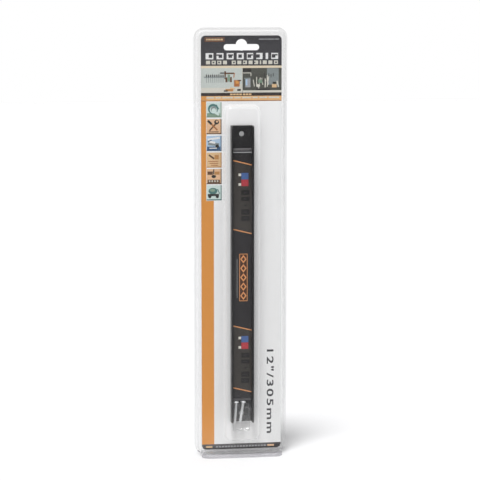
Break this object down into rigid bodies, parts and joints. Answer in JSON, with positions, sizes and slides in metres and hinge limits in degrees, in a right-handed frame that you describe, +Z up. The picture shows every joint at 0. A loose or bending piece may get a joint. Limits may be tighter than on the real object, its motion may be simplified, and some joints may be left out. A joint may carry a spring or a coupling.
{
  "type": "packaged magnetic tool bar",
  "caption": "Wall-mounted magnetic tool holder bar in a clear hinged clamshell pack with a printed card, a stand foot, a hang slot and a bag of screws.",
  "frame": {"origin": "middle of the pack's footprint, on the surface that it stands on", "axes": "+X to the pack's right as its card is read, +Y to its back, +Z up; the card and the bar's magnetic face look along -Y"},
  "size_m": [0.096, 0.022, 0.439],
  "materials": {
    "clear_pet": "clear thermoformed sheet, glossy",
    "printed_board": "coated white board, offset printed",
    "black_powder_coat": "satin powder coat on folded steel",
    "ferrite": "sintered ferrite, matt",
    "foam_tape": "double-sided foam tape",
    "label_film": "printed film, semi-gloss",
    "grey_plastic": "moulded, satin",
    "zinc_steel": "bright zinc plate",
    "clear_film": "thin clear polythene film, creased"
  },
  "bodies": {
    "back": {"back_shell": "clear_pet", "living_hinge": "clear_pet"},
    "front": {"front_shell": "clear_pet"},
    "card": {"insert_card": "printed_board"},
    "bar": {"bar_channel": "black_powder_coat", "bond_strip": "foam_tape", "magnet_block_1": "ferrite", "magnet_block_2": "ferrite", "magnet_block_3": "ferrite", "magnet_block_4": "ferrite", "magnet_block_5": "ferrite", "magnet_block_6": "ferrite", "label_strip": "label_film", "end_stop_bottom": "grey_plastic", "end_stop_top": "grey_plastic"},
    "screws": {"mounting_screws": "zinc_steel", "screw_bag": "clear_film"}
  },
  "joints": [
    {"name": "shell_hinge", "type": "hinge", "parent": "back", "child": "front", "pos_m": [-0.04755, 0.0104, 0.2195], "axis": [0, 0, -1], "range_deg": [0, 180]},
    {"name": "card_slide", "type": "slide", "parent": "back", "child": "card", "axis": [0, -1, 0], "range_m": [0, 0.012]},
    {"name": "bar_slide", "type": "slide", "parent": "card", "child": "bar", "axis": [0, -1, 0], "range_m": [0, 0.03]},
    {"name": "screws_slide", "type": "slide", "parent": "bar", "child": "screws", "axis": [0, -1, 0], "range_m": [0, 0.025]}
  ],
  "couplings": [
    {"joint": "card_slide", "follows": "shell_hinge", "m_per_rad": 0.0038},
    {"joint": "bar_slide", "follows": "shell_hinge", "m_per_rad": 0.0095},
    {"joint": "screws_slide", "follows": "shell_hinge", "m_per_rad": 0.0079}
  ]
}
